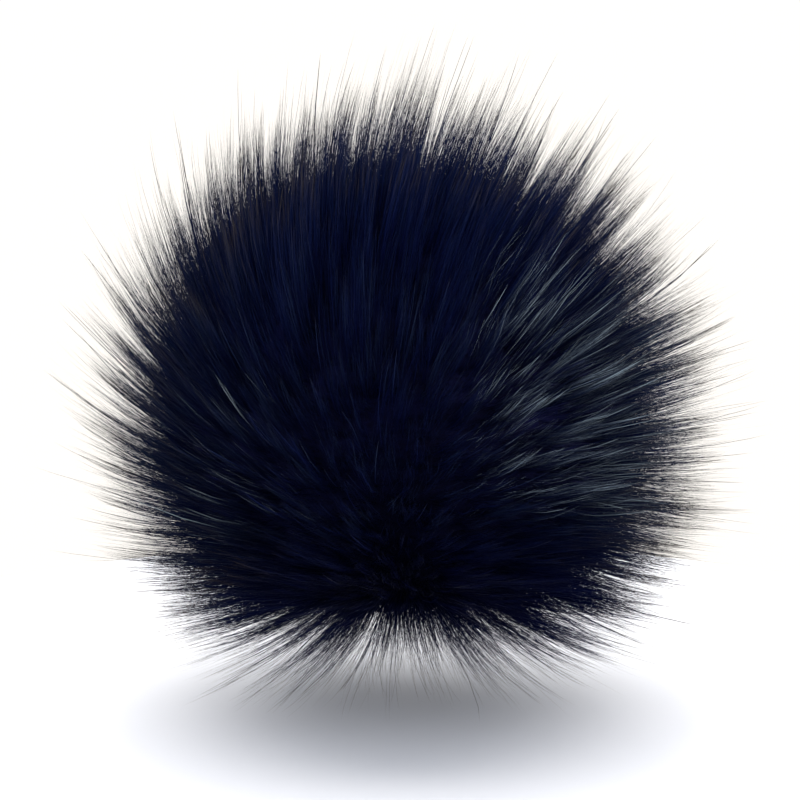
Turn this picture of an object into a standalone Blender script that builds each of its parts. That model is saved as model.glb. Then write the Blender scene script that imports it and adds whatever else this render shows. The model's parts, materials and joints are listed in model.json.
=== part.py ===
"""A faux-fur pom pom that rests on the ends of its lowest locks.

One round cut of long-pile fur is drawn up into a ball. The gathered spot is underneath,
towards the front. Every lock of the pile leaves the ball outwards and leans away from
that spot, most in front of it, so the pile sweeps up the ball with a slow swirl. The
left side is combed further up.
Metres, +Z up, front towards -Y, origin on the resting surface under the ball.
"""

import math
import random

import bmesh
import bpy
from mathutils import Vector

# Driving sizes.
BALL_RADIUS = 0.045
BALL_CENTRE = Vector((-0.001, 0.0, 0.060))
GATHERED_SPOT = Vector((0.0, -0.30, -0.954)).normalized()
# How deep the ball is drawn in at the gathered spot, and how far from it in radians.
DIMPLE_DEPTH = 0.006
DIMPLE_SPREAD = 0.50
# Sideways travel of a lock for each metre that it grows outwards: everywhere, and
# more where the pile is flattened around the gather.
LEAN_ALL_OVER = 0.42
LEAN_IN_FRONT = 2.60
LEAN_BEHIND = 0.60
SWIRL = 0.19
# The further lean of the left side, where the pile is combed up and inwards.
COMBED_LEFT = Vector((0.22, 0.0, 0.35))
# How far the flattened pile spreads, and its middle that still stands upright, in radians.
GATHER_LEAN_SPREAD = 0.75
GATHER_CORE = 0.20
# The way along the ball from the gathered spot up the front.
UP_THE_FRONT = Vector((0.0, GATHERED_SPOT.z, -GATHERED_SPOT.y))

FRONT_AND_BACK_REACH = 0.066
REACH_SHORTER = 0.0045
REACH_LONGER = 0.0015

# How far the pile reaches from the ball's centre, seen from the front.
# Columns: angle anticlockwise from the right in degrees, reach in metres.
PILE_REACH = (
    (-90, 0.0640),
    (-60, 0.0690),
    (-35, 0.0715),
    (10, 0.0700),
    (35, 0.0700),
    (60, 0.0700),
    (100, 0.0705),
    (125, 0.0670),
    (155, 0.0660),
    (180, 0.0675),
    (205, 0.0690),
    (230, 0.0700),
    (240, 0.0715),
    (270, 0.0640),
)

# A lock's section as it tapers, as a share of the patch of ball that it grows from.
# Columns: share of the lock's length, share of the patch's width.
LOCK_TAPER = (
    (0.25, 0.80),
    (0.50, 0.66),
    (0.75, 0.44),
    (1.00, 0.14),
)
# How far a tip strays from the middle of its sector, in widths of the sector.
# With half the section's width it stays under half a sector all along the lock.
TIP_STRAY = 0.42
FOOT_END_WIDTH = 0.30

# A lock that would end this low, or that a little more length would bring to the
# resting surface, ends level on it.
SETTLED_BELOW = 0.004
LONGEST_STRETCH = 1.25

# How the foot lock's place is closed in on.
FOOT_STEPS = 400
FOOT_STEP_SHARE = 0.15

LOCKS_PER_SIDE = 7
SEED = 11

FUR_COLOUR = (0.010, 0.014, 0.026, 1.0)
FUR_ROUGHNESS = 0.62
SMOOTH_BELOW = math.radians(40)


def clear_scene():
    for old in list(bpy.data.objects):
        bpy.data.objects.remove(old, do_unlink=True)


def fur_material():
    material = bpy.data.materials.new("fur")
    material.use_nodes = True
    shader = material.node_tree.nodes["Principled BSDF"]
    shader.inputs["Base Color"].default_value = FUR_COLOUR
    shader.inputs["Roughness"].default_value = FUR_ROUGHNESS
    shader.inputs["Metallic"].default_value = 0.0
    return material


def ball_radius(direction):
    """The ball's radius along direction, less where the gather draws it in."""
    off_spot = direction.angle(GATHERED_SPOT)
    return BALL_RADIUS - DIMPLE_DEPTH * math.exp(-((off_spot / DIMPLE_SPREAD) ** 2))


def nap_lean(direction):
    """The lean of the pile along direction, which is a unit vector."""
    away = direction * direction.dot(GATHERED_SPOT) - GATHERED_SPOT
    fanned = away / math.hypot(away.length, GATHER_CORE)
    in_front = ((1 + fanned.dot(UP_THE_FRONT)) / 2) ** 2
    flattened = LEAN_BEHIND + (LEAN_IN_FRONT - LEAN_BEHIND) * in_front
    flattened *= math.exp(-((direction.angle(GATHERED_SPOT) / GATHER_LEAN_SPREAD) ** 2))
    swirl = Vector((direction.z, 0.0, -direction.x)) * SWIRL
    combed = COMBED_LEFT - direction * direction.dot(COMBED_LEFT)
    combed *= ((1 - direction.x) / 2) ** 1.5
    return away * LEAN_ALL_OVER + fanned * flattened + swirl + combed


def pile_point(direction, growth):
    """The point of the pile that grew from the ball along direction."""
    upright = direction * (ball_radius(direction) + growth)
    return BALL_CENTRE + upright + nap_lean(direction) * growth


def growth_to_reach(direction, reach):
    """The growth at which a lock is as far as reach from the ball's centre."""
    square = 1 + nap_lean(direction).length_squared
    radius = ball_radius(direction)
    return (math.sqrt(radius**2 + square * (reach**2 - radius**2)) - radius) / square


def growth_to_floor(direction):
    """The growth at which a lock meets the resting surface, or None."""
    fall = -(direction.z + nap_lean(direction).z)
    if fall <= 0:
        return None
    return (BALL_CENTRE.z + ball_radius(direction) * direction.z) / fall


def foot_direction():
    """Where on the ball the lock grows that ends at the origin, found by closing in on it."""
    direction = Vector((0.0, 0.0, -1.0))
    for _ in range(FOOT_STEPS):
        root = BALL_CENTRE + nap_lean(direction) * growth_to_floor(direction)
        direction = direction.lerp(-root.normalized(), FOOT_STEP_SHARE).normalized()
    return direction


def outline_reach(direction):
    """The table's reach at the side, blended to a plain one at front and back."""
    side = direction * FRONT_AND_BACK_REACH
    side = side + nap_lean(direction) * (FRONT_AND_BACK_REACH - BALL_RADIUS)
    angle = math.degrees(math.atan2(side.z, side.x))
    if angle < -90:
        angle += 360
    reach = PILE_REACH[-1][1]
    for (low, low_reach), (high, high_reach) in zip(PILE_REACH, PILE_REACH[1:]):
        if low <= angle < high:
            share = (angle - low) / (high - low)
            reach = low_reach + (high_reach - low_reach) * share
    sideways = math.hypot(side.x, side.z) / side.length
    return FRONT_AND_BACK_REACH + (reach - FRONT_AND_BACK_REACH) * sideways


def ball_patches():
    """A cube cut into patches, swelled to a unit ball with its foot patch turned to the foot."""
    patches = bmesh.new()
    bmesh.ops.create_cube(patches, size=2.0)
    bmesh.ops.subdivide_edges(
        patches, edges=patches.edges[:], cuts=LOCKS_PER_SIDE - 1, use_grid_fill=True
    )
    turn = Vector((0, 0, -1)).rotation_difference(foot_direction())
    for vertex in patches.verts:
        swelled = Vector([math.tan(share * math.pi / 4) for share in vertex.co])
        vertex.co = turn @ swelled.normalized()
    return patches


def lock_growth(middle, chance):
    """How long this lock grows, and whether it ends on the resting surface."""
    reach = outline_reach(middle) + chance.uniform(-REACH_SHORTER, REACH_LONGER)
    free = growth_to_reach(middle, reach)
    floor = growth_to_floor(middle)
    settles = pile_point(middle, free).z < SETTLED_BELOW
    if settles and floor is not None and floor < free * LONGEST_STRETCH:
        return floor, True
    return free, False


def grow_lock(pile, patch, chance, foot):
    """Extrude one patch into a tapering lock that stays within its own sector."""
    corners = [corner.co.copy() for corner in patch.verts]
    middle = sum(corners, Vector()) / len(corners)
    growth, on_floor = lock_growth(middle.normalized(), chance)
    across = (corners[1] - corners[0]) * chance.uniform(-TIP_STRAY, TIP_STRAY)
    up = (corners[2] - corners[1]) * chance.uniform(-TIP_STRAY, TIP_STRAY)
    stray = Vector() if foot else across + up
    end = patch
    for along, width in LOCK_TAPER:
        if foot:
            width = max(width, FOOT_END_WIDTH)
        end = bmesh.ops.extrude_discrete_faces(pile, faces=[end])["faces"][0]
        heading = middle + stray * along**2
        for vertex, corner in zip(end.verts, corners):
            direction = (heading + (corner - middle) * width).normalized()
            vertex.co = pile_point(direction, growth * along)
    if on_floor:
        for vertex in end.verts:
            vertex.co.z = 0.0


def fur_ball():
    chance = random.Random(SEED)
    pile = ball_patches()
    foot_way = foot_direction()
    patches = pile.faces[:]
    foot_patch = max(patches, key=lambda patch: patch.calc_center_median().dot(foot_way))
    roots = pile.verts[:]
    for patch in patches:
        grow_lock(pile, patch, chance, patch is foot_patch)
    for root in roots:
        root.co = BALL_CENTRE + root.co * ball_radius(root.co)
    bmesh.ops.recalc_face_normals(pile, faces=pile.faces[:])
    mesh = bpy.data.meshes.new("fur_ball")
    pile.to_mesh(mesh)
    pile.free()
    mesh.shade_smooth()
    mesh.set_sharp_from_angle(angle=SMOOTH_BELOW)
    ball = bpy.data.objects.new("fur_ball", mesh)
    ball.data.materials.append(fur_material())
    bpy.context.collection.objects.link(ball)


clear_scene()
fur_ball()
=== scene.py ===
"""A pom pom of long, very dark faux fur, dressed around its fixed model.

Metres, +Z up, front towards -Y. The pile is grown here as single tapering hairs,
from the same ball, with the same lean and in the same locks as the model's solid.
"""

import json
import math
import random

import bmesh
import bpy
import numpy as np
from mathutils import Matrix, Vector, noise

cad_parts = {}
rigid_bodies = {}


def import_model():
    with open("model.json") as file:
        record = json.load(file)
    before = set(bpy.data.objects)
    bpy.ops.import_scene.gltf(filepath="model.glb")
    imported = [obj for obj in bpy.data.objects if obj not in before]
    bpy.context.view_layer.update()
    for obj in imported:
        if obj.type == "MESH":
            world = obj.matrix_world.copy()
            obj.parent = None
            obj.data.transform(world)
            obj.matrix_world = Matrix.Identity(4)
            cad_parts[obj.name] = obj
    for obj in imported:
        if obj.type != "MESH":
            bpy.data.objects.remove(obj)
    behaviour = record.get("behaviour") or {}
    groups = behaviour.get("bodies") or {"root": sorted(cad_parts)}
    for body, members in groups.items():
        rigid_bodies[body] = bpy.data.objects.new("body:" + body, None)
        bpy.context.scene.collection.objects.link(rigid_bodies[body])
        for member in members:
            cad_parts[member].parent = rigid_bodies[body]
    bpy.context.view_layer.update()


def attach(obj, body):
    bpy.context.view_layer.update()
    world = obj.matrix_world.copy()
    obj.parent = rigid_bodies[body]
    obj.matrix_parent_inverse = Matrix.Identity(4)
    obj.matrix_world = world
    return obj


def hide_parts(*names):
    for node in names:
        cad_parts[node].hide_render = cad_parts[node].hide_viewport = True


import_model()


# ---------------------------------------------------------------- the drawn-up ground
# The knitted back of the fur, gathered tight over its stuffing into a ball. It only
# shows as a dark ground, deep between the roots of the pile, uneven where it is drawn up.

BALL_RADIUS = 0.045
BALL_CENTRE = Vector((-0.001, 0.0, 0.060))
GATHERED_SPOT = Vector((0.0, -0.30, -0.954)).normalized()
DIMPLE_DEPTH = 0.006
DIMPLE_SPREAD = 0.50
GROUND_SUBDIVISIONS = 5
GROUND_INSET = 0.0002
GROUND_LUMP = 0.0010
LUMPS = 5
SMALL_LUMPS = 13
GROUND_PLEAT = 0.0030
GROUND_PLEATS = 26
PLEAT_FADE = 2.2
GROUND_COLOUR = (0.0001, 0.0003, 0.0060, 1.0)
GROUND_NAP_COLOUR = (0.0004, 0.0009, 0.0120, 1.0)
NAP_SCALE = 900.0
WORN_SCALE = 70.0


class Wire:
    """A socket of the material in the making, so that its maths reads as Python."""

    tree = None

    def __init__(self, socket):
        self.socket = socket

    @staticmethod
    def fill(socket, value):
        if isinstance(value, Wire):
            Wire.tree.links.new(value.socket, socket)
        else:
            socket.default_value = value

    @staticmethod
    def node(kind, settings=None, sockets=None, out=0):
        """Any node: its settings first, then the values or links of its sockets."""
        made = Wire.tree.nodes.new("ShaderNode" + kind)
        for name, value in (settings or {}).items():
            setattr(made, name, value)
        for name, value in (sockets or {}).items():
            Wire.fill(made.inputs[name], value)
        return Wire(made.outputs[out])

    def maths(self, operation, other):
        return Wire.node("Math", {"operation": operation}, {0: self, 1: other})

    def __add__(self, other):
        return self.maths("ADD", other)

    def __mul__(self, other):
        return self.maths("MULTIPLY", other)

    __radd__ = __add__

    def between(self, low, high):
        """0 at low and below, 1 at high and above, eased in between."""
        settings = {"interpolation_type": "SMOOTHSTEP"}
        return Wire.node("MapRange", settings, {0: self, 1: low, 2: high})

    def mix(self, low, high):
        """The colour low where this is 0, and high where it is 1."""
        return Wire.node("Mix", {"data_type": "RGBA"}, {0: self, 6: low, 7: high}, out=2)


def new_material(name):
    material = bpy.data.materials.new(name)
    material.use_nodes = True
    Wire.tree = material.node_tree
    return material, material.node_tree.nodes["Principled BSDF"]


def dress(piece, material):
    """The piece gets its finish, rides on the one body and stands for the fur solid."""
    piece.data.materials.append(material)
    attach(piece, "root")
    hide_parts("fur_ball")


def ball_radius(off_spot):
    """The ball's radius at an angle from the gathered spot, where it is drawn in."""
    return BALL_RADIUS - DIMPLE_DEPTH * np.exp(-((off_spot / DIMPLE_SPREAD) ** 2))


def ground_mesh():
    """A ball with soft lumps, and with pleats that run out from the gathered spot."""
    ball = bmesh.new()
    bmesh.ops.create_icosphere(ball, subdivisions=GROUND_SUBDIVISIONS, radius=1.0)
    side = GATHERED_SPOT.orthogonal().normalized()
    other = GATHERED_SPOT.cross(side)
    for vertex in ball.verts:
        way = vertex.co.normalized()
        off_spot = way.angle(GATHERED_SPOT)
        around = math.atan2(way.dot(other), way.dot(side))
        pleat = math.sin(around * GROUND_PLEATS) * math.exp(-PLEAT_FADE * off_spot) * off_spot
        lump = noise.noise(way * LUMPS) + 0.5 * noise.noise(way * SMALL_LUMPS)
        out = ball_radius(off_spot) - GROUND_INSET + GROUND_LUMP * lump + GROUND_PLEAT * pleat
        vertex.co = BALL_CENTRE + way * out
    mesh = bpy.data.meshes.new("fur_ground")
    ball.to_mesh(mesh)
    ball.free()
    mesh.shade_smooth()
    return mesh


def ground_material():
    material, shader = new_material("knitted_ground")
    spot = Wire.node("TexCoord", out=3)
    nap_sockets = {"Vector": spot, "Scale": NAP_SCALE, "Detail": 3.0}
    nap = Wire.node("TexNoise", sockets=nap_sockets)
    worn = Wire.node("TexNoise", sockets={"Vector": spot, "Scale": WORN_SCALE})
    colour = (nap * worn).between(0.12, 0.42).mix(GROUND_COLOUR, GROUND_NAP_COLOUR)
    Wire.fill(shader.inputs["Base Color"], colour)
    shader.inputs["Roughness"].default_value = 0.95
    shader.inputs["Specular IOR Level"].default_value = 0.05
    raised = Wire.node("Bump", sockets={"Strength": 0.6, "Distance": 0.0006, "Height": nap})
    Wire.fill(shader.inputs["Normal"], raised)
    return material


ground = bpy.data.objects.new("fur_ground", ground_mesh())
bpy.context.collection.objects.link(ground)
dress(ground, ground_material())


# ---------------------------------------------------------------- the under fur
# The short, dense inner pile of crimped fibres. It gives the ball its solid dark body,
# and it stands in the same locks as the long pile, which leans away from the gather.

# Sideways growth for each metre outwards: everywhere, and more around the gather.
LEAN_ALL_OVER = 0.42
LEAN_IN_FRONT = 2.60
LEAN_BEHIND = 0.60
GATHER_LEAN_SPREAD = 0.75
GATHER_CORE = 0.20
SWIRL = 0.19
COMBED_LEFT = (0.22, 0.0, 0.35)
LOCKS_PER_SIDE = 7
LOCK_SEED = 11
FRONT_AND_BACK_REACH = 0.066
REACH_SHORTER = 0.0045
REACH_LONGER = 0.0015
TIP_STRAY = 0.42
FOOT_STEPS = 400
FOOT_STEP_SHARE = 0.15
# Columns: angle seen from the front in degrees, reach from the ball's centre in metres.
PILE_REACH = (
    (-90, 0.0640),
    (-60, 0.0690),
    (-35, 0.0715),
    (10, 0.0700),
    (35, 0.0700),
    (60, 0.0700),
    (100, 0.0705),
    (125, 0.0670),
    (155, 0.0660),
    (180, 0.0675),
    (205, 0.0690),
    (230, 0.0700),
    (240, 0.0715),
    (270, 0.0640),
)

centre = np.array(BALL_CENTRE)
gather = np.array(GATHERED_SPOT)
forward = np.array((0.0, gather[2], -gather[1]))


def unit(rows):
    return rows / np.linalg.norm(rows, axis=-1, keepdims=True)


def angle_off(direction, spot):
    """The angle in radians between each direction and the one that spot gives."""
    return np.arccos(np.clip(direction @ unit(np.array(spot)), -1, 1))


def root_radius(direction):
    return ball_radius(angle_off(direction, gather))


def nap_lean(direction):
    """Sideways growth for each metre outwards: away from the gather, swirled and combed."""
    away = direction * (direction @ gather)[..., None] - gather
    fanned = away / np.sqrt((away**2).sum(axis=-1, keepdims=True) + GATHER_CORE**2)
    in_front = ((1 + (fanned @ forward)[..., None]) / 2) ** 2
    flattened = LEAN_BEHIND + (LEAN_IN_FRONT - LEAN_BEHIND) * in_front
    nearness = np.exp(-((angle_off(direction, gather) / GATHER_LEAN_SPREAD) ** 2))
    flattened = flattened * nearness[..., None]
    swirl = np.stack((direction[..., 2], direction[..., 0] * 0, -direction[..., 0]), axis=-1)
    comb = np.array(COMBED_LEFT)
    combed = comb - direction * (direction @ comb)[..., None]
    combed = combed * ((1 - direction[..., :1]) / 2) ** 1.5
    return away * LEAN_ALL_OVER + fanned * flattened + swirl * SWIRL + combed


def growth_to_reach(direction, reach):
    """How much pile grows outwards until it is as far as reach from the ball's centre."""
    square = 1 + (nap_lean(direction) ** 2).sum(axis=-1)
    radius = root_radius(direction)
    return (np.sqrt(radius**2 + square * (reach**2 - radius**2)) - radius) / square


def growth_to_floor(direction):
    """How much pile grows until it meets the resting surface: without end if it never does."""
    fall = -(direction[..., 2] + nap_lean(direction)[..., 2])
    drop = centre[2] + root_radius(direction) * direction[..., 2]
    return np.where(fall > 1e-4, drop / np.maximum(fall, 1e-4), np.inf)


def foot_direction():
    """Where on the ball the lock grows that ends at the origin, found by closing in on it."""
    direction = np.array((0.0, 0.0, -1.0))
    for _ in range(FOOT_STEPS):
        aimed = -unit(centre + nap_lean(direction) * growth_to_floor(direction))
        direction = unit(direction + (aimed - direction) * FOOT_STEP_SHARE)
    return Vector(direction)


def outline_reach(direction):
    """The table's reach at the side, blended to a plain one at front and back."""
    side = direction * FRONT_AND_BACK_REACH
    side = side + nap_lean(direction) * (FRONT_AND_BACK_REACH - BALL_RADIUS)
    angle = math.degrees(math.atan2(side[2], side[0]))
    angle += 360 * (angle < -90)
    reach = np.interp(angle, *zip(*PILE_REACH))
    sideways = math.hypot(side[2], side[0]) / np.linalg.norm(side)
    return FRONT_AND_BACK_REACH + (reach - FRONT_AND_BACK_REACH) * sideways


def lock_rows():
    """Of each lock its middle, its patch's two widths, its tip's stray and its reach."""
    patches = bmesh.new()
    bmesh.ops.create_cube(patches, size=2.0)
    bmesh.ops.subdivide_edges(
        patches, edges=patches.edges[:], cuts=LOCKS_PER_SIDE - 1, use_grid_fill=True
    )
    turn = Vector((0, 0, -1)).rotation_difference(foot_direction())
    for vertex in patches.verts:
        swelled = Vector([math.tan(share * math.pi / 4) for share in vertex.co])
        vertex.co = turn @ swelled.normalized()
    chance = random.Random(LOCK_SEED)
    rows = []
    reaches = []
    for patch in patches.faces:
        corners = np.array([corner.co for corner in patch.verts])
        middle = corners.mean(axis=0)
        reach = outline_reach(unit(middle)) + chance.uniform(-REACH_SHORTER, REACH_LONGER)
        across = corners[1] - corners[0]
        up = corners[2] - corners[1]
        stray = across * chance.uniform(-TIP_STRAY, TIP_STRAY)
        stray = stray + up * chance.uniform(-TIP_STRAY, TIP_STRAY)
        rows.append((middle, across, up, stray))
        reaches.append(reach)
    patches.free()
    return *np.array(rows).transpose(1, 0, 2), np.array(reaches)


lock_middle, lock_across, lock_up, lock_stray, lock_reach = lock_rows()
lock_count = len(lock_middle)

FLOOR_GAP = 0.0001
ROOT_DEPTH = 0.0018
TIP_TAPER = 0.70
# A hair leans ever more towards its tip, and draws towards its wisp sooner than its lock.
LEAN_CURVE = 1.4
WISP_CURVE = 1.3
LOCK_CURVE = 2
RING_CROWDING = 1.6
# The baked map: places along a hair one way, a narrow band of its own tone the other.
TONE_BAND = 0.02

# The underside, from the gather to behind the foot, where the pile is thin.
THIN_HALF_WIDTH = (0.18, 0.36)
THIN_BELOW = (-0.72, -0.88)
THIN_AROUND_GATHER = (0.35, 0.60)

# Where a hair's colours change: by share of its length, and by its tone from 0 to 1. The
# highest tones are a painted highlight, the lowest a painted shade.
MIDDLE_ALONG = (0.30, 0.85)
MIDDLE_SOONER_IF_LIGHT = 0.3
LIGHT_TONES = (0.40, 0.85)
LIGHT_ALONG = (0.15, 0.60)
TIP_ALONG = (0.64, 0.96)
TIP_SOONER_IF_LIGHT = 0.1
HIGHLIGHT_TONES = (0.90, 0.98)
HIGHLIGHT_ALONG = (0.26, 0.66)
HOLLOW_SHADE_TONES = (0.02, 0.14)
TIP_ROUGHER = 0.12
LIGHT_ROUGHER = 0.10
SHEEN_LEVEL = 0.10
SHEEN_COLOUR = (0.18, 0.38, 0.95, 1.0)


def eased(value, low, high):
    """0 at low and before, 1 at high and beyond, eased in between."""
    share = np.clip((value - low) / (high - low), 0, 1)
    return share * share * (3 - 2 * share)


def lock_patch(lock):
    return np.stack((lock_across[lock], lock_up[lock]), axis=1)


def root_direction(lock, root):
    return unit(lock_middle[lock] + np.einsum("hp,hpx->hx", root, lock_patch(lock)))


def off_underside(direction):
    """0 on the thin underside, 1 where the pile stands as thick as it can."""
    beside = eased(np.abs(direction[:, 0]), *THIN_HALF_WIDTH)
    return np.maximum(beside, 1 - eased(direction[:, 2], *THIN_BELOW))


def off_gather(direction):
    """0 where the fur is gathered, 1 where the pile stands as thick as it can."""
    return eased(angle_off(direction, gather), *THIN_AROUND_GATHER)


def ring_shares(steps):
    """Where a hair's rings are along it: closer together towards the tip."""
    return 1 - (1 - np.linspace(0, 1, steps + 1)) ** RING_CROWDING


def hair_rings(hairs, steps):
    """The middles of each hair's rings, from root to tip, as (hair, ring, xyz)."""
    lock = hairs["lock"]
    share = ring_shares(steps)[None, :, None]
    to_wisp = hairs["wisp_pull"][:, None, None] * share**WISP_CURVE
    to_lock = hairs["lock_pull"][:, None, None] * share**LOCK_CURVE
    spot = hairs["root"][:, None] * (1 - to_wisp) + hairs["wisp"][:, None] * to_wisp
    spot = spot * (1 - to_lock)
    direction = lock_middle[lock][:, None] + np.einsum("hrp,hpx->hrx", spot, lock_patch(lock))
    direction = direction + lock_stray[lock][:, None] * to_lock
    direction = unit(direction + hairs["bend"][:, None] * share**2)
    tip = direction[:, -1]
    growth = np.minimum(growth_to_reach(tip, hairs["reach"]), growth_to_floor(tip))
    growth = growth[:, None, None]
    from_centre = root_radius(direction)[..., None] + growth * share - ROOT_DEPTH * (1 - share)
    rings = centre + direction * from_centre + nap_lean(direction) * growth * share**LEAN_CURVE
    rings = rings + hairs["crimp"][:, None] * np.sin(share * hairs["waves"][:, None, None])
    rings[..., 2] = np.maximum(rings[..., 2], FLOOR_GAP)
    return rings


def hair_mesh(name, hairs, steps, dice):
    """A thin tapering strip for each hair, turned its own way, all joined in one mesh."""
    rings = hair_rings(hairs, steps)
    count = len(rings)
    along = unit(np.gradient(rings, axis=1))
    across = unit(np.cross(along, unit(dice.normal(size=(count, 1, 3)))))
    share = ring_shares(steps)
    half_width = hairs["width"][:, None, None] / 2 * (1 - TIP_TAPER * share**2)[None, :, None]
    edges = np.stack((rings - across * half_width, rings + across * half_width), axis=2)
    points = np.concatenate((edges[:, :-1].reshape(count, -1, 3), rings[:, -1:]), axis=1)
    per_hair = points.shape[1]

    loops, maps, sizes = [], [], []
    for step in range(steps - 1):
        left = 2 * step
        low, high = share[step : step + 2]
        loops += [left, left + 1, left + 3, left + 2]
        maps += [(low, 0), (low, 1), (high, 1), (high, 0)]
        sizes.append(4)
    loops += [per_hair - 3, per_hair - 2, per_hair - 1]
    maps += [(share[-2], 0), (share[-2], 1), (share[-1], 0.5)]
    sizes.append(3)

    corners = (np.array(loops)[None] + np.arange(count)[:, None] * per_hair).ravel()
    sizes = np.tile(sizes, count)
    mesh = bpy.data.meshes.new(name)
    mesh.vertices.add(count * per_hair)
    mesh.vertices.foreach_set("co", points.astype(np.float32).ravel())
    mesh.loops.add(len(corners))
    mesh.loops.foreach_set("vertex_index", corners.astype(np.int32))
    mesh.polygons.add(len(sizes))
    starts = np.concatenate(([0], np.cumsum(sizes)[:-1]))
    mesh.polygons.foreach_set("loop_start", starts.astype(np.int32))
    mesh.update(calc_edges=True)
    mesh.shade_smooth()
    places = np.array(maps, float)[None].repeat(count, axis=0)
    # Painted backlight: the paling shortens the hair's colour ramp, so that hairs off the rim
    # keep darker tips.
    places[..., 0] *= hairs["backlit_paling"][:, None]
    places[..., 1] = hairs["tone"][:, None] * (1 - TONE_BAND) + places[..., 1] * TONE_BAND
    layer = mesh.uv_layers.new(name="OFBake")
    layer.data.foreach_set("uv", places.astype(np.float32).ravel())
    return mesh


def grow_hairs(name, hairs, steps, pieces, material, dice):
    """The hairs in a few joined pieces, dealt out lock by lock."""
    for number in range(pieces):
        dealt = hairs["lock"] % pieces == number
        dealt_hairs = {word: values[dealt] for word, values in hairs.items()}
        mesh = hair_mesh(f"{name}_{number + 1}", dealt_hairs, steps, dice)
        piece = bpy.data.objects.new(mesh.name, mesh)
        bpy.context.collection.objects.link(piece)
        dress(piece, material)


def hair_material(name, root, middle, light, tip, highlight_colour, roughness):
    """Dark at the root, lighter at the thin tip, with each hair a little off in tone; its top
    tones paint a highlight and its lowest a shade.
    """
    material, shader = new_material(name)
    place = Wire.node("UVMap", {"uv_map": "OFBake"})
    along = Wire.node("SeparateXYZ", sockets={0: place}, out=0)
    tone = Wire.node("SeparateXYZ", sockets={0: place}, out=1)
    middle_share = (along + tone * MIDDLE_SOONER_IF_LIGHT).between(*MIDDLE_ALONG)
    light_share = tone.between(*LIGHT_TONES) * along.between(*LIGHT_ALONG)
    tip_share = (along + tone * TIP_SOONER_IF_LIGHT).between(*TIP_ALONG)
    # Painted highlight: the pale colour for hairs of the highest tones.
    highlight_share = tone.between(*HIGHLIGHT_TONES) * along.between(*HIGHLIGHT_ALONG)
    colour = middle_share.mix(root, middle)
    colour = light_share.mix(colour, light)
    colour = tip_share.mix(colour, tip)
    colour = highlight_share.mix(colour, highlight_colour)
    # Painted shade: hairs of the lowest tones keep the root colour all along.
    colour = tone.between(*HOLLOW_SHADE_TONES).mix(root, colour)
    Wire.fill(shader.inputs["Base Color"], colour)
    rough = roughness + along * TIP_ROUGHER + tone * LIGHT_ROUGHER
    Wire.fill(shader.inputs["Roughness"], rough)
    shader.inputs["Specular IOR Level"].default_value = SHEEN_LEVEL
    shader.inputs["Specular Tint"].default_value = SHEEN_COLOUR
    return material


def hairs_in_wisps(dice, wisps_per_lock, hairs_per_wisp, spread):
    """Each hair's wisp, each wisp's place on its lock's patch, and each hair's root there."""
    wisp_total = lock_count * wisps_per_lock
    wisp_spot = dice.uniform(-0.5, 0.5, (wisp_total, 2))
    wisp = np.repeat(np.arange(wisp_total), hairs_per_wisp)
    root = wisp_spot[wisp] + dice.normal(0, spread, (len(wisp), 2))
    return wisp, wisp_spot, root


UNDER_SEED = 5
UNDER_WISPS = 8
UNDER_HAIRS = 10
UNDER_SPREAD = 0.12
UNDER_LOW = 0.0475
UNDER_HIGH = 0.0520
UNDER_THIN_REACH = 0.0440
UNDER_WISP_PULL = (0.1, 0.5)
UNDER_LOCK_PULL = 0.1
UNDER_BEND = 0.012
UNDER_CRIMP = 0.0001
UNDER_WAVES = (4, 8)
UNDER_WIDTH = 0.00014
UNDER_WIDTHS = (0.8, 1.3)
UNDER_HAIR_TONES = (0.15, 0.90)

dice = np.random.default_rng(UNDER_SEED)
wisp, wisp_spot, root = hairs_in_wisps(dice, UNDER_WISPS, UNDER_HAIRS, UNDER_SPREAD)
count = len(wisp)
way = root_direction(wisp // UNDER_WISPS, root)
full = off_underside(way) * off_gather(way)
under_reach = UNDER_LOW + (UNDER_HIGH - UNDER_LOW) * dice.beta(1.5, 2, count)
under_hairs = {
    "lock": wisp // UNDER_WISPS,
    "root": root,
    "wisp": wisp_spot[wisp],
    "wisp_pull": dice.uniform(*UNDER_WISP_PULL, count),
    "lock_pull": np.full(count, UNDER_LOCK_PULL),
    "reach": UNDER_THIN_REACH + (under_reach - UNDER_THIN_REACH) * full,
    "bend": dice.normal(0, UNDER_BEND, (count, 3)),
    "crimp": dice.normal(0, UNDER_CRIMP, (count, 3)),
    "waves": dice.uniform(*UNDER_WAVES, count),
    "width": UNDER_WIDTH * dice.uniform(*UNDER_WIDTHS, count),
    "tone": dice.uniform(*UNDER_HAIR_TONES, count),
    "backlit_paling": np.ones(count),
}
under_material = hair_material(
    "under_fur",
    root=(0.0007, 0.0012, 0.0140, 1.0),
    middle=(0.0010, 0.0022, 0.0160, 1.0),
    light=(0.0018, 0.0034, 0.0140, 1.0),
    tip=(0.0024, 0.0044, 0.0140, 1.0),
    highlight_colour=(0.0080, 0.0110, 0.0320, 1.0),
    roughness=0.55,
)
grow_hairs("under_fur", under_hairs, 3, 2, under_material, dice)


# ---------------------------------------------------------------- the long pile
# The long, straight guard fibres, which gather in pointed wisps towards their tips. They are
# ink dark over most of their length; the longest thin out to a smoky grey-brown, kept whole
# only on the rim as painted backlight. On the front right many are paler: a painted highlight.

PILE_SEED = 9
PILE_WISPS = 22
PILE_HAIRS = 17
PILE_SPREAD = 0.07
PILE_LOW = (0.0495, 0.0520)
LOOK_LONGER = 0.0036
WISP_SHORTER = 0.0065
HAIR_SHORTER = 0.0056
WISP_PULL = (0.30, 0.85)
HAIR_PULL = (0.7, 1.1)
LOCK_PULL = (0.00, 0.25)
WISP_BEND = 0.010
HAIR_BEND = 0.007
HAIR_CRIMP = 0.0001
HAIR_WAVES = (3, 7)

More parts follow.
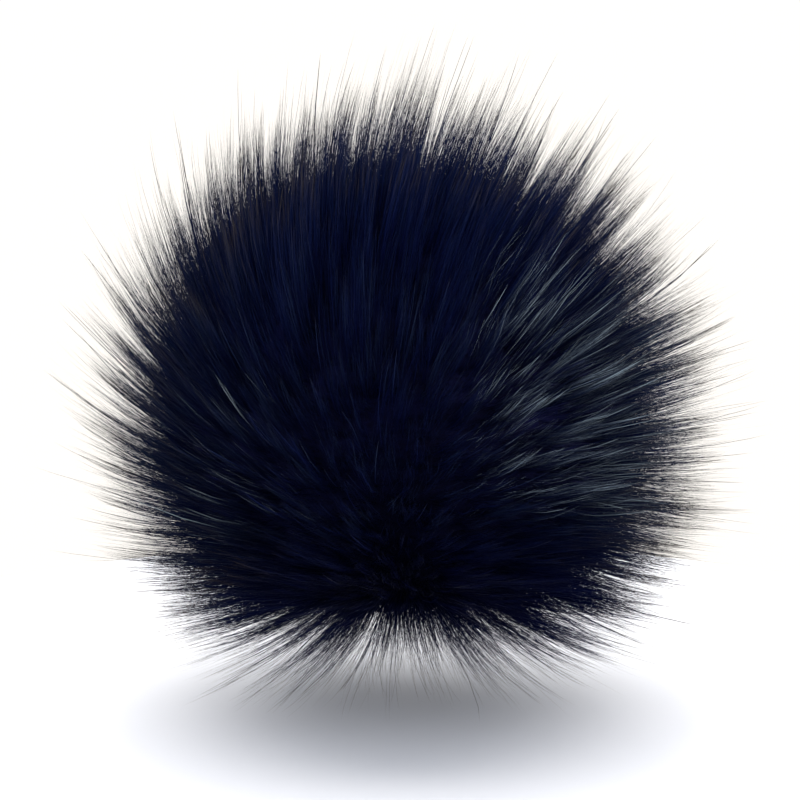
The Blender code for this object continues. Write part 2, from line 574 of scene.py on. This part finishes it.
PILE_WIDTH = 0.00006
WIDTH_MIDDLE = -0.12
WIDTH_SPREAD = 0.50
WIDEST = 2.4

# The top of the ball, by height on it, where the pile is sparser, and darker by shade painted
# into its tones.
TOP_OF_BALL = (0.20, 0.75)
SPARSER_ON_TOP = 0.30
SHADE_PAINTED_ON_TOP = 0.40

# A few hairs are stouter than the rest, and some of them reach past their lock.
STRAY_SHARE = 0.045
STRAY_WIDER = 2.1
STRAY_LONGER = (0.000, 0.010)
STRAY_PAST_LOCK = 0.0045

# Painted backlight: only the hairs at the top, bottom and sides that reach furthest, on the
# rim as seen from the front, have the whole pale tip; the others stop short of it.
UNBACKLIT_PALING = 0.69
BACKLIT_PALING_REACH = (0.0570, 0.0670)
BACKLIT_TIPPED_SIDES = (0.50, 0.85)

# Tones: plain dark hairs, and in the painted highlight patches faintly and fully highlighted
# ones.
WISP_TONES = (0.16, 0.84)
HAIR_TONE_SPREAD = 0.06
PLAIN_TONES = (0.15, 0.88)
FAINT_HIGHLIGHT_TONES = (0.903, 0.938)
FULL_HIGHLIGHT_TONES = (0.94, 1.0)
HIGHLIGHT_SPOT = (0.48, -0.88, 0.02)
HIGHLIGHT_SPREAD = 0.46
HIGHLIGHT_AT_SPOT = 0.74
HIGHLIGHT_ELSEWHERE = 0.003
HIGHLIGHT_TO_RIGHT = (0.14, 0.44)
HIGHLIGHT_LEFT_SPOT = (-0.64, -0.72, -0.26)
HIGHLIGHT_LEFT_SPREAD = 0.34
HIGHLIGHT_AT_LEFT = 0.09
HIGHLIGHT_IN_WISP = 0.34
HIGHLIGHT_LOOSE = 0.08
HIGHLIGHT_WIDER = 0.95

# The painted shade of the hollow around the gather, low on the front.
HOLLOW_SHADE_SPOT = (0.10, -0.45, -0.89)
HOLLOW_SHADE_WITHIN = (0.45, 0.80)
HIGHLIGHT_OFF_SHADE = (0.70, 1.00)


def highlight_patch(direction, spot, spread):
    """1 at the middle of a painted highlight patch, fading to 0 around it."""
    return np.exp(-((angle_off(direction, spot) / spread) ** 3))


dice = np.random.default_rng(PILE_SEED)
wisp, wisp_spot, root = hairs_in_wisps(dice, PILE_WISPS, PILE_HAIRS, PILE_SPREAD)
count = len(wisp)
wisp_total = len(wisp_spot)
lock = wisp // PILE_WISPS
wisp_shorter = WISP_SHORTER * dice.beta(1.6, 1.2, wisp_total)
wisp_bend = dice.normal(0, WISP_BEND, (wisp_total, 3))
wisp_pull = dice.uniform(*WISP_PULL, wisp_total)
lock_pull = dice.uniform(*LOCK_PULL, wisp_total)
longest = lock_reach + LOOK_LONGER
way = root_direction(lock, root)
wisp_way = root_direction(np.arange(wisp_total) // PILE_WISPS, wisp_spot)
hair_shorter = HAIR_SHORTER * (1 + SPARSER_ON_TOP * eased(way[:, 2], *TOP_OF_BALL))
wisp_tone = dice.uniform(*WISP_TONES, wisp_total)
# Painted shade: wisps high on the ball get darker tones.
wisp_tone = wisp_tone * (1 - SHADE_PAINTED_ON_TOP * eased(wisp_way[:, 2], *TOP_OF_BALL))
long_hairs = {
    "lock": lock,
    "root": root,
    "wisp": wisp_spot[wisp],
    "wisp_pull": wisp_pull[wisp] * dice.uniform(*HAIR_PULL, count),
    "lock_pull": lock_pull[wisp],
    "reach": longest[lock] - wisp_shorter[wisp] - dice.gamma(2.0, hair_shorter),
    "bend": wisp_bend[wisp] + dice.normal(0, HAIR_BEND, (count, 3)),
    "crimp": dice.normal(0, HAIR_CRIMP, (count, 3)),
    "waves": dice.uniform(*HAIR_WAVES, count),
}
width = dice.lognormal(WIDTH_MIDDLE, WIDTH_SPREAD, count)
width = PILE_WIDTH * np.minimum(width, WIDEST)
tone = wisp_tone[wisp] + dice.normal(0, HAIR_TONE_SPREAD, count)
tone = np.clip(tone, *PLAIN_TONES)

# Painted highlight: in patches on the front right and low on the left, many wisps and hairs
# get pale tones like lit sheen. None get them in the painted shade of the hollow.
highlight_share = highlight_patch(wisp_way, HIGHLIGHT_SPOT, HIGHLIGHT_SPREAD)
highlight_share = HIGHLIGHT_ELSEWHERE + (HIGHLIGHT_AT_SPOT - HIGHLIGHT_ELSEWHERE) * highlight_share
off_hollow_shade = angle_off(wisp_way, HOLLOW_SHADE_SPOT)
highlight_share = highlight_share * eased(off_hollow_shade, *HIGHLIGHT_OFF_SHADE)
highlight_share = highlight_share * eased(wisp_way[:, 0], *HIGHLIGHT_TO_RIGHT)
highlight_on_left = highlight_patch(wisp_way, HIGHLIGHT_LEFT_SPOT, HIGHLIGHT_LEFT_SPREAD)
highlight_share = highlight_share + HIGHLIGHT_AT_LEFT * highlight_on_left
highlighted_wisp = dice.uniform(0, 1, wisp_total) < highlight_share
faintly_highlighted = dice.uniform(0, 1, count) < highlight_share[wisp]
fully_highlighted_share = np.where(highlighted_wisp[wisp], HIGHLIGHT_IN_WISP, highlight_share[wisp] * HIGHLIGHT_LOOSE)
fully_highlighted = dice.uniform(0, 1, count) < fully_highlighted_share
tone = np.where(faintly_highlighted, dice.uniform(*FAINT_HIGHLIGHT_TONES, count), tone)
tone = np.where(fully_highlighted, dice.uniform(*FULL_HIGHLIGHT_TONES, count), tone)
# Painted shade: hairs in the hollow around the gather drop to the lowest tones, dark all
# along.
tone = tone * eased(off_hollow_shade, *HOLLOW_SHADE_WITHIN)[wisp]

stray = dice.uniform(0, 1, count) < STRAY_SHARE * off_underside(way)
reach = long_hairs["reach"] + stray * dice.uniform(*STRAY_LONGER, count)
reach = np.minimum(reach, longest[lock] + STRAY_PAST_LOCK)
reach = np.maximum(reach, dice.uniform(*PILE_LOW, count))
width = width * np.where(fully_highlighted, HIGHLIGHT_WIDER, 1) * np.where(stray, STRAY_WIDER, 1)
long_hairs["reach"] = reach
long_hairs["width"] = width
long_hairs["tone"] = tone
# Painted backlight: the whole pale tip only on long hairs at the rim as seen from the front.
backlit_rim = eased(np.hypot(way[:, 0], way[:, 2]), *BACKLIT_TIPPED_SIDES)
backlit_rim = backlit_rim * eased(reach, *BACKLIT_PALING_REACH)
long_hairs["backlit_paling"] = UNBACKLIT_PALING + (1 - UNBACKLIT_PALING) * backlit_rim
pile_material = hair_material(
    "smoke_tipped_pile",
    root=(0.0007, 0.0012, 0.0140, 1.0),
    middle=(0.0011, 0.0025, 0.0165, 1.0),
    light=(0.0052, 0.0092, 0.0240, 1.0),
    tip=(0.0300, 0.0245, 0.0145, 1.0),
    highlight_colour=(0.2000, 0.2550, 0.3050, 1.0),
    roughness=0.40,
)
grow_hairs("long_pile", long_hairs, 4, 5, pile_material, dice)


# ---------------------------------------------------------------- the floor
# A plain, pale, level round sheet, a little wider than the pom pom's shadow. It is lit
# as white as the room behind it, so its rim doesn't show.

FLOOR_RADIUS = 0.14
FLOOR_SIDES = 128
FLOOR_COLOUR = (0.76, 0.82, 0.95, 1.0)

floor_mesh = bpy.data.meshes.new("floor")
turns = np.arange(FLOOR_SIDES) * 2 * math.pi / FLOOR_SIDES
floor_rim = np.stack((np.cos(turns), np.sin(turns), turns * 0), axis=1) * FLOOR_RADIUS
floor_mesh.from_pydata(floor_rim.tolist(), [], [list(range(FLOOR_SIDES))])
floor = bpy.data.objects.new("floor", floor_mesh)
bpy.context.collection.objects.link(floor)
floor_material, floor_shader = new_material("white_floor")
floor_shader.inputs["Base Color"].default_value = FLOOR_COLOUR
floor_shader.inputs["Roughness"].default_value = 1.0
floor_shader.inputs["Specular IOR Level"].default_value = 0.0
floor_mesh.materials.append(floor_material)


# ---------------------------------------------------------------- light and camera
# A white room. Three soft lamps light the pile alone: the key from the right, and weaker
# ones from the left and from behind. A very wide sun lights the floor alone and draws the
# soft shadow. A long lens looks on from a little above the ball.

ROOM_COLOUR = (1.09, 1.05, 1.0, 1.0)
# Columns: name, place, diameter in metres, power in watts, colour.
PILE_LAMPS = (
    ("key", (0.55, -0.25, 0.20), 0.25, 11.0, (1.0, 0.94, 0.84)),
    ("fill", (-0.50, -0.35, 0.25), 0.30, 6.0, (1.0, 1.0, 1.0)),
    ("back", (0.10, 0.50, 0.40), 0.30, 9.0, (1.0, 1.0, 1.0)),
)
SUN_STRENGTH = 4.4
SUN_COLOUR = (1.0, 0.90, 0.76)
SUN_WIDTH_DEG = 98
SUN_BEHIND_DEG = 41

world = bpy.data.worlds.new("white_room")
bpy.context.scene.world = world
world.use_nodes = True
world.node_tree.nodes["Background"].inputs["Color"].default_value = ROOM_COLOUR
world.node_tree.nodes["Background"].inputs["Strength"].default_value = 1.0

lit = bpy.data.collections.new("lit_by_the_lamps")
for piece in bpy.context.scene.objects:
    if piece.type == "MESH" and piece != floor:
        lit.objects.link(piece)
for name, place, diameter, power, colour in PILE_LAMPS:
    lamp = bpy.data.lights.new(name, "AREA")
    lamp.shape = "DISK"
    lamp.size = diameter
    lamp.energy = power
    lamp.color = colour
    body = bpy.data.objects.new(name, lamp)
    body.location = place
    body.rotation_euler = (BALL_CENTRE - Vector(place)).to_track_quat("-Z", "Y").to_euler()
    body.light_linking.receiver_collection = lit
    bpy.context.collection.objects.link(body)

floor_only = bpy.data.collections.new("lit_from_above")
floor_only.objects.link(floor)
sun = bpy.data.lights.new("overhead", "SUN")
sun.energy = SUN_STRENGTH
sun.color = SUN_COLOUR
sun.angle = math.radians(SUN_WIDTH_DEG)
overhead = bpy.data.objects.new("overhead", sun)
overhead.rotation_euler = (math.radians(-SUN_BEHIND_DEG), 0, 0)
overhead.light_linking.receiver_collection = floor_only
bpy.context.collection.objects.link(overhead)

PHOTO_PIXELS = 800
MM_PER_PIXEL = 0.2
LENS_MM = 135.0
SENSOR_MM = 36.0
CAMERA_HEIGHT_DEG = 10.0
BALL_PIXEL = (400, 405)

view_width = PHOTO_PIXELS * MM_PER_PIXEL / 1000
distance = view_width * LENS_MM / SENSOR_MM
aim_right = (PHOTO_PIXELS / 2 - BALL_PIXEL[0]) * MM_PER_PIXEL / 1000
aim_up = (BALL_PIXEL[1] - PHOTO_PIXELS / 2) * MM_PER_PIXEL / 1000
tilt = math.radians(CAMERA_HEIGHT_DEG)
aim = BALL_CENTRE + Vector((aim_right, 0, aim_up / math.cos(tilt)))
lens = bpy.data.cameras.new("camera")
lens.lens = LENS_MM
lens.sensor_width = SENSOR_MM
lens.clip_start = 0.01
camera = bpy.data.objects.new("camera", lens)
camera.location = aim + Vector((0, -math.cos(tilt), math.sin(tilt))) * distance
camera.rotation_euler = (math.pi / 2 - tilt, 0, 0)
bpy.context.collection.objects.link(camera)
bpy.context.scene.camera = camera
bpy.context.scene.view_settings.view_transform = "Standard"
